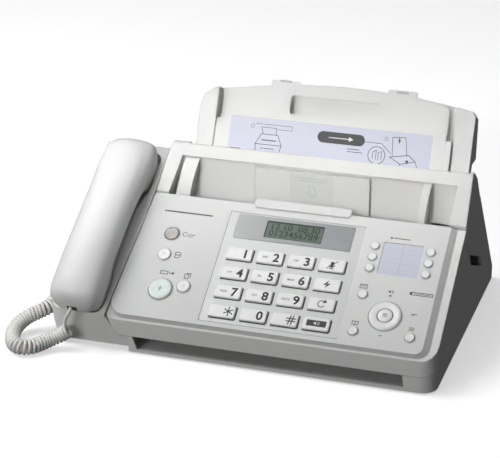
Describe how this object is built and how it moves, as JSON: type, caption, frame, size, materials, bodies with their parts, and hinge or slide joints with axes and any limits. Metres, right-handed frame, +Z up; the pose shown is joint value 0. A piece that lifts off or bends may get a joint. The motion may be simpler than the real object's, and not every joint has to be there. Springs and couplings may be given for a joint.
{
  "type": "fax machine",
  "caption": "Desktop fax machine with a sloping keypad panel, a corded handset in a side cradle, a document feed with guides and an upright paper tray.",
  "frame": {"origin": "on the table under the middle of the machine, measured without the cord", "axes": "+X to the operator's right, +Y from the operator towards the rear, +Z up"},
  "size_m": [0.3935, 0.3014, 0.2083],
  "materials": {
    "shell_plastic": "fine satin texture",
    "panel_plastic": "fine satin texture",
    "silver_inlay": "satin silver print",
    "key_plastic": "semi gloss",
    "start_plastic": "semi gloss",
    "smoked_plastic": "semi gloss",
    "lcd_window": "gloss",
    "handset_plastic": "semi gloss",
    "cord_plastic": "satin",
    "clear_plastic": "gloss",
    "rubber": "matte",
    "circuit_board": "satin",
    "steel": "satin",
    "dark_plastic": "satin",
    "ink_film": "gloss"
  },
  "bodies": {
    "chassis": {"base_case": "shell_plastic", "cradle_shell": "shell_plastic", "rubber_foot_front": "rubber", "rubber_foot_rear": "rubber", "main_board": "circuit_board", "drive_motor": "steel", "thermal_head": "steel", "scanner_bar": "dark_plastic", "line_jack": "dark_plastic", "power_inlet": "dark_plastic", "base_plug": "clear_plastic", "cord_coil": "cord_plastic", "cord_lead": "cord_plastic"},
    "front_cover": {"front_cover": "shell_plastic", "operation_panel": "panel_plastic", "keypad_inlay": "silver_inlay", "lcd_window": "lcd_window", "key_board": "circuit_board"},
    "back_cover": {"back_cover": "shell_plastic"},
    "document_guide_left": {"document_guide_left": "shell_plastic"},
    "document_guide_right": {"document_guide_right": "shell_plastic"},
    "paper_tray": {"paper_tray": "shell_plastic"},
    "tension_plate": {"tension_plate": "shell_plastic"},
    "handset": {"handset_shell": "handset_plastic", "handset_base": "handset_plastic"},
    "hook_switch": {"hook_switch": "handset_plastic"},
    "platen_roller": {"platen_roller": "rubber"},
    "film_takeup_roll": {"film_takeup_roll": "ink_film"},
    "film_supply_roll": {"film_supply_roll": "ink_film"},
    "nav_ring": {"nav_ring": "key_plastic"},
    "key_star": {"key_star": "key_plastic"},
    "key_0": {"key_0": "key_plastic"},
    "key_hash": {"key_hash": "key_plastic"},
    "key_handsfree": {"key_handsfree": "key_plastic"},
    "key_7": {"key_7": "key_plastic"},
    "key_8": {"key_8": "key_plastic"},
    "key_9": {"key_9": "key_plastic"},
    "key_redial": {"key_redial": "key_plastic"},
    "key_4": {"key_4": "key_plastic"},
    "key_5": {"key_5": "key_plastic"},
    "key_6": {"key_6": "key_plastic"},
    "key_flash": {"key_flash": "key_plastic"},
    "key_1": {"key_1": "key_plastic"},
    "key_2": {"key_2": "key_plastic"},
    "key_3": {"key_3": "key_plastic"},
    "key_mute": {"key_mute": "key_plastic"},
    "auto_answer_button": {"auto_answer_button": "smoked_plastic"},
    "copy_button": {"copy_button": "key_plastic"},
    "start_button": {"start_button": "start_plastic"},
    "stop_button": {"stop_button": "key_plastic"},
    "caller_id_button": {"caller_id_button": "key_plastic"},
    "phonebook_button": {"phonebook_button": "key_plastic"},
    "menu_button": {"menu_button": "key_plastic"},
    "nav_button": {"nav_button": "key_plastic"},
    "one_touch_1": {"one_touch_1": "key_plastic"},
    "one_touch_2": {"one_touch_2": "key_plastic"},
    "one_touch_3": {"one_touch_3": "key_plastic"},
    "one_touch_4": {"one_touch_4": "key_plastic"},
    "one_touch_5": {"one_touch_5": "key_plastic"},
    "one_touch_6": {"one_touch_6": "key_plastic"}
  },
  "joints": [
    {"name": "front_cover_hinge", "type": "hinge", "parent": "chassis", "child": "front_cover", "pos_m": [0.04, -0.12365, 0.0163], "axis": [1, 0, 0], "range_deg": [0, 60]},
    {"name": "back_cover_hinge", "type": "hinge", "parent": "chassis", "child": "back_cover", "pos_m": [0.04, 0.04795, 0.1195], "axis": [-1, 0, 0], "range_deg": [0, 35]},
    {"name": "document_guide_left_slide", "type": "slide", "parent": "back_cover", "child": "document_guide_left", "axis": [1, 0, 0], "range_m": [0, 0.038]},
    {"name": "document_guide_right_slide", "type": "slide", "parent": "back_cover", "child": "document_guide_right", "axis": [1, 0, 0], "range_m": [-0.038, 0]},
    {"name": "paper_tray_lift", "type": "slide", "parent": "back_cover", "child": "paper_tray", "axis": [0, 0.4226, 0.9063], "range_m": [0, 0.06]},
    {"name": "tension_plate_hinge", "type": "hinge", "parent": "paper_tray", "child": "tension_plate", "pos_m": [0.0425, 0.0154, 0.1347], "axis": [1, 0, 0], "range_deg": [0, 10]},
    {"name": "handset_lift", "type": "slide", "parent": "chassis", "child": "handset", "axis": [0, -0.5664, 0.8241], "range_m": [0, 0.08]},
    {"name": "hook_switch_rise", "type": "slide", "parent": "chassis", "child": "hook_switch", "axis": [0, -0.5664, 0.8241], "range_m": [0, 0.003]},
    {"name": "platen_roller_spin", "type": "hinge", "parent": "chassis", "child": "platen_roller", "pos_m": [0.04, -0.02045, 0.05], "axis": [1, 0, 0], "continuous": true},
    {"name": "film_takeup_spin", "type": "hinge", "parent": "chassis", "child": "film_takeup_roll", "pos_m": [0.04, -0.06395, 0.036], "axis": [1, 0, 0], "continuous": true},
    {"name": "film_supply_spin", "type": "hinge", "parent": "chassis", "child": "film_supply_roll", "pos_m": [0.04, 0.03605, 0.06], "axis": [1, 0, 0], "continuous": true},
    {"name": "nav_ring_rock", "type": "hinge", "parent": "front_cover", "child": "nav_ring", "pos_m": [0.1261, -0.09576, 0.05577], "axis": [1, 0, 0], "range_deg": [-3.5, 3.5], "stiffness_Nm_per_rad": 0.06},
    {"name": "key_star_press", "type": "slide", "parent": "front_cover", "child": "key_star", "axis": [0, 0.5664, -0.8241], "range_m": [0, 0.0015], "stiffness_N_per_m": 300, "springref_m": -0.001},
    {"name": "key_0_press", "type": "slide", "parent": "front_cover", "child": "key_0", "axis": [0, 0.5664, -0.8241], "range_m": [0, 0.0015], "stiffness_N_per_m": 300, "springref_m": -0.001},
    {"name": "key_hash_press", "type": "slide", "parent": "front_cover", "child": "key_hash", "axis": [0, 0.5664, -0.8241], "range_m": [0, 0.0015], "stiffness_N_per_m": 300, "springref_m": -0.001},
    {"name": "key_handsfree_press", "type": "slide", "parent": "front_cover", "child": "key_handsfree", "axis": [0, 0.5664, -0.8241], "range_m": [0, 0.0015], "stiffness_N_per_m": 300, "springref_m": -0.001},
    {"name": "key_7_press", "type": "slide", "parent": "front_cover", "child": "key_7", "axis": [0, 0.5664, -0.8241], "range_m": [0, 0.0015], "stiffness_N_per_m": 300, "springref_m": -0.001},
    {"name": "key_8_press", "type": "slide", "parent": "front_cover", "child": "key_8", "axis": [0, 0.5664, -0.8241], "range_m": [0, 0.0015], "stiffness_N_per_m": 300, "springref_m": -0.001},
    {"name": "key_9_press", "type": "slide", "parent": "front_cover", "child": "key_9", "axis": [0, 0.5664, -0.8241], "range_m": [0, 0.0015], "stiffness_N_per_m": 300, "springref_m": -0.001},
    {"name": "key_redial_press", "type": "slide", "parent": "front_cover", "child": "key_redial", "axis": [0, 0.5664, -0.8241], "range_m": [0, 0.0015], "stiffness_N_per_m": 300, "springref_m": -0.001},
    {"name": "key_4_press", "type": "slide", "parent": "front_cover", "child": "key_4", "axis": [0, 0.5664, -0.8241], "range_m": [0, 0.0015], "stiffness_N_per_m": 300, "springref_m": -0.001},
    {"name": "key_5_press", "type": "slide", "parent": "front_cover", "child": "key_5", "axis": [0, 0.5664, -0.8241], "range_m": [0, 0.0015], "stiffness_N_per_m": 300, "springref_m": -0.001},
    {"name": "key_6_press", "type": "slide", "parent": "front_cover", "child": "key_6", "axis": [0, 0.5664, -0.8241], "range_m": [0, 0.0015], "stiffness_N_per_m": 300, "springref_m": -0.001},
    {"name": "key_flash_press", "type": "slide", "parent": "front_cover", "child": "key_flash", "axis": [0, 0.5664, -0.8241], "range_m": [0, 0.0015], "stiffness_N_per_m": 300, "springref_m": -0.001},
    {"name": "key_1_press", "type": "slide", "parent": "front_cover", "child": "key_1", "axis": [0, 0.5664, -0.8241], "range_m": [0, 0.0015], "stiffness_N_per_m": 300, "springref_m": -0.001},
    {"name": "key_2_press", "type": "slide", "parent": "front_cover", "child": "key_2", "axis": [0, 0.5664, -0.8241], "range_m": [0, 0.0015], "stiffness_N_per_m": 300, "springref_m": -0.001},
    {"name": "key_3_press", "type": "slide", "parent": "front_cover", "child": "key_3", "axis": [0, 0.5664, -0.8241], "range_m": [0, 0.0015], "stiffness_N_per_m": 300, "springref_m": -0.001},
    {"name": "key_mute_press", "type": "slide", "parent": "front_cover", "child": "key_mute", "axis": [0, 0.5664, -0.8241], "range_m": [0, 0.0015], "stiffness_N_per_m": 300, "springref_m": -0.001},
    {"name": "auto_answer_button_press", "type": "slide", "parent": "front_cover", "child": "auto_answer_button", "axis": [0, 0.5664, -0.8241], "range_m": [0, 0.0015], "stiffness_N_per_m": 300, "springref_m": -0.001},
    {"name": "copy_button_press", "type": "slide", "parent": "front_cover", "child": "copy_button", "axis": [0, 0.5664, -0.8241], "range_m": [0, 0.0015], "stiffness_N_per_m": 300, "springref_m": -0.001},
    {"name": "start_button_press", "type": "slide", "parent": "front_cover", "child": "start_button", "axis": [0, 0.5664, -0.8241], "range_m": [0, 0.0015], "stiffness_N_per_m": 300, "springref_m": -0.001},
    {"name": "stop_button_press", "type": "slide", "parent": "front_cover", "child": "stop_button", "axis": [0, 0.5664, -0.8241], "range_m": [0, 0.0015], "stiffness_N_per_m": 300, "springref_m": -0.001},
    {"name": "caller_id_button_press", "type": "slide", "parent": "front_cover", "child": "caller_id_button", "axis": [0, 0.5664, -0.8241], "range_m": [0, 0.0015], "stiffness_N_per_m": 300, "springref_m": -0.001},
    {"name": "phonebook_button_press", "type": "slide", "parent": "front_cover", "child": "phonebook_button", "axis": [0, 0.5664, -0.8241], "range_m": [0, 0.0015], "stiffness_N_per_m": 300, "springref_m": -0.001},
    {"name": "menu_button_press", "type": "slide", "parent": "front_cover", "child": "menu_button", "axis": [0, 0.5664, -0.8241], "range_m": [0, 0.0015], "stiffness_N_per_m": 300, "springref_m": -0.001},
    {"name": "nav_button_press", "type": "slide", "parent": "front_cover", "child": "nav_button", "axis": [0, 0.5664, -0.8241], "range_m": [0, 0.0015], "stiffness_N_per_m": 300, "springref_m": -0.001},
    {"name": "one_touch_1_press", "type": "slide", "parent": "front_cover", "child": "one_touch_1", "axis": [0, 0.5664, -0.8241], "range_m": [0, 0.0015], "stiffness_N_per_m": 300, "springref_m": -0.001},
    {"name": "one_touch_2_press", "type": "slide", "parent": "front_cover", "child": "one_touch_2", "axis": [0, 0.5664, -0.8241], "range_m": [0, 0.0015], "stiffness_N_per_m": 300, "springref_m": -0.001},
    {"name": "one_touch_3_press", "type": "slide", "parent": "front_cover", "child": "one_touch_3", "axis": [0, 0.5664, -0.8241], "range_m": [0, 0.0015], "stiffness_N_per_m": 300, "springref_m": -0.001},
    {"name": "one_touch_4_press", "type": "slide", "parent": "front_cover", "child": "one_touch_4", "axis": [0, 0.5664, -0.8241], "range_m": [0, 0.0015], "stiffness_N_per_m": 300, "springref_m": -0.001},
    {"name": "one_touch_5_press", "type": "slide", "parent": "front_cover", "child": "one_touch_5", "axis": [0, 0.5664, -0.8241], "range_m": [0, 0.0015], "stiffness_N_per_m": 300, "springref_m": -0.001},
    {"name": "one_touch_6_press", "type": "slide", "parent": "front_cover", "child": "one_touch_6", "axis": [0, 0.5664, -0.8241], "range_m": [0, 0.0015], "stiffness_N_per_m": 300, "springref_m": -0.001}
  ],
  "couplings": [
    {"joint": "document_guide_right_slide", "follows": "document_guide_left_slide", "ratio": -1},
    {"joint": "hook_switch_rise", "follows": "handset_lift", "ratio": 0.0375},
    {"joint": "film_takeup_spin", "follows": "platen_roller_spin", "ratio": -0.9},
    {"joint": "film_supply_spin", "follows": "platen_roller_spin", "ratio": -0.6}
  ]
}
